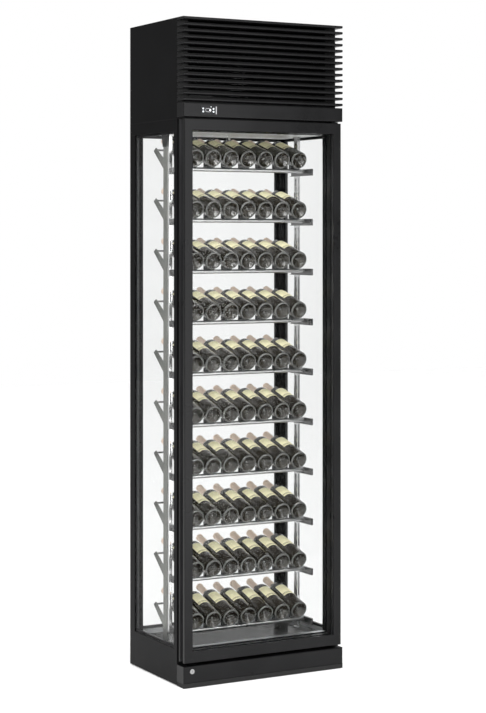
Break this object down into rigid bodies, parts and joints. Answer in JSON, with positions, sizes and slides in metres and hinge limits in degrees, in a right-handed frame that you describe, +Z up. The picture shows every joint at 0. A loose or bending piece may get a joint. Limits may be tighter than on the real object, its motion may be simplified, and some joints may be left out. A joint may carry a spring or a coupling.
{
  "type": "wine cooler",
  "caption": "Tall glazed wine cooler with a hinged glass door, tilted bottle shelves on slotted columns, and a louvred cooling housing on top",
  "frame": {"origin": "on the floor under the middle of the cabinet's bounding box", "axes": "X to the right seen from the door, Y to the rear, Z up; the door faces -Y"},
  "size_m": [0.75, 0.5036, 2.7],
  "materials": {
    "black_paint": "satin",
    "light_paint": "satin",
    "steel": "satin",
    "bright_steel": "polished",
    "aluminium": "satin",
    "copper": "satin",
    "black_aluminium": "satin",
    "rubber": "matt",
    "black_plastic": "matt",
    "gloss_black": "gloss",
    "white_plastic": "matt",
    "clear_glass": "clear",
    "bottle_glass": "dark"
  },
  "bodies": {
    "cabinet": {"base_housing": "black_paint", "plinth_fascia": "black_paint", "rack_brackets": "black_paint", "housing_side_panels": "black_paint", "housing_top_panel": "black_paint", "housing_rear_panel": "black_paint", "louvre_backing": "black_paint", "control_fascia": "black_paint", "compressor": "black_paint", "door_hinges": "black_paint", "filter_drier": "black_paint", "front_posts": "black_aluminium", "rear_posts": "black_aluminium", "top_frame": "black_aluminium", "louvre_fins": "black_aluminium", "ceiling_panel": "light_paint", "bottom_frame": "steel", "rack_plates": "steel", "shelf_arms": "steel", "rack_columns": "bright_steel", "bottle_rails": "bright_steel", "neck_rests": "bright_steel", "lock_housing": "bright_steel", "glass_spacers": "aluminium", "condenser_coil": "aluminium", "evaporator_coil": "aluminium", "refrigerant_pipes": "copper", "toe_strip": "rubber", "compressor_mounts": "rubber", "cable_grommet": "rubber", "levelling_feet": "black_plastic", "bottle_cradles": "black_plastic", "condenser_fan_shroud": "black_plastic", "fan_motors": "black_plastic", "controller_module": "black_plastic", "control_box": "black_plastic", "drip_tray": "black_plastic", "floor_panel": "gloss_black", "controller_display": "gloss_black", "evaporator_cover": "white_plastic", "base_insulation": "white_plastic", "ceiling_insulation": "white_plastic", "led_strips": "white_plastic", "temperature_probe": "white_plastic", "side_glass_panes": "clear_glass", "rear_glass_panes": "clear_glass", "wine_bottles": "bottle_glass"},
    "door": {"door_frame": "black_aluminium", "door_glass_panes": "clear_glass", "door_glass_spacer": "aluminium", "door_gasket": "rubber", "door_handle_channel": "aluminium"},
    "lock_cylinder_body": {"lock_cylinder": "bright_steel"},
    "condenser_fan_body": {"condenser_fan": "black_plastic"},
    "evaporator_fan_body": {"evaporator_fan": "white_plastic"},
    "upper_left_key_body": {"upper_left_key": "white_plastic"},
    "lower_left_key_body": {"lower_left_key": "white_plastic"},
    "upper_right_key_body": {"upper_right_key": "white_plastic"},
    "lower_right_key_body": {"lower_right_key": "white_plastic"}
  },
  "joints": [
    {"name": "door_hinge", "type": "hinge", "parent": "cabinet", "child": "door", "pos_m": [0.352, -0.212, 1.195], "axis": [0, 0, 1], "range_deg": [0, 100]},
    {"name": "lock_turn", "type": "hinge", "parent": "cabinet", "child": "lock_cylinder_body", "pos_m": [-0.337, -0.24, 0.067], "axis": [0, -1, 0], "range_deg": [0, 90]},
    {"name": "condenser_fan_spin", "type": "hinge", "parent": "cabinet", "child": "condenser_fan_body", "pos_m": [0.165, -0.112, 2.46525], "axis": [0, 1, 0], "continuous": true},
    {"name": "evaporator_fan_spin", "type": "hinge", "parent": "cabinet", "child": "evaporator_fan_body", "pos_m": [-0.12, 0.075, 2.3085], "axis": [0, 0, 1], "continuous": true},
    {"name": "upper_left_press", "type": "slide", "parent": "cabinet", "child": "upper_left_key_body", "axis": [0, 1, 0], "range_m": [0, 0.0008], "stiffness_N_per_m": 1500},
    {"name": "lower_left_press", "type": "slide", "parent": "cabinet", "child": "lower_left_key_body", "axis": [0, 1, 0], "range_m": [0, 0.0008], "stiffness_N_per_m": 1500},
    {"name": "upper_right_press", "type": "slide", "parent": "cabinet", "child": "upper_right_key_body", "axis": [0, 1, 0], "range_m": [0, 0.0008], "stiffness_N_per_m": 1500},
    {"name": "lower_right_press", "type": "slide", "parent": "cabinet", "child": "lower_right_key_body", "axis": [0, 1, 0], "range_m": [0, 0.0008], "stiffness_N_per_m": 1500}
  ]
}
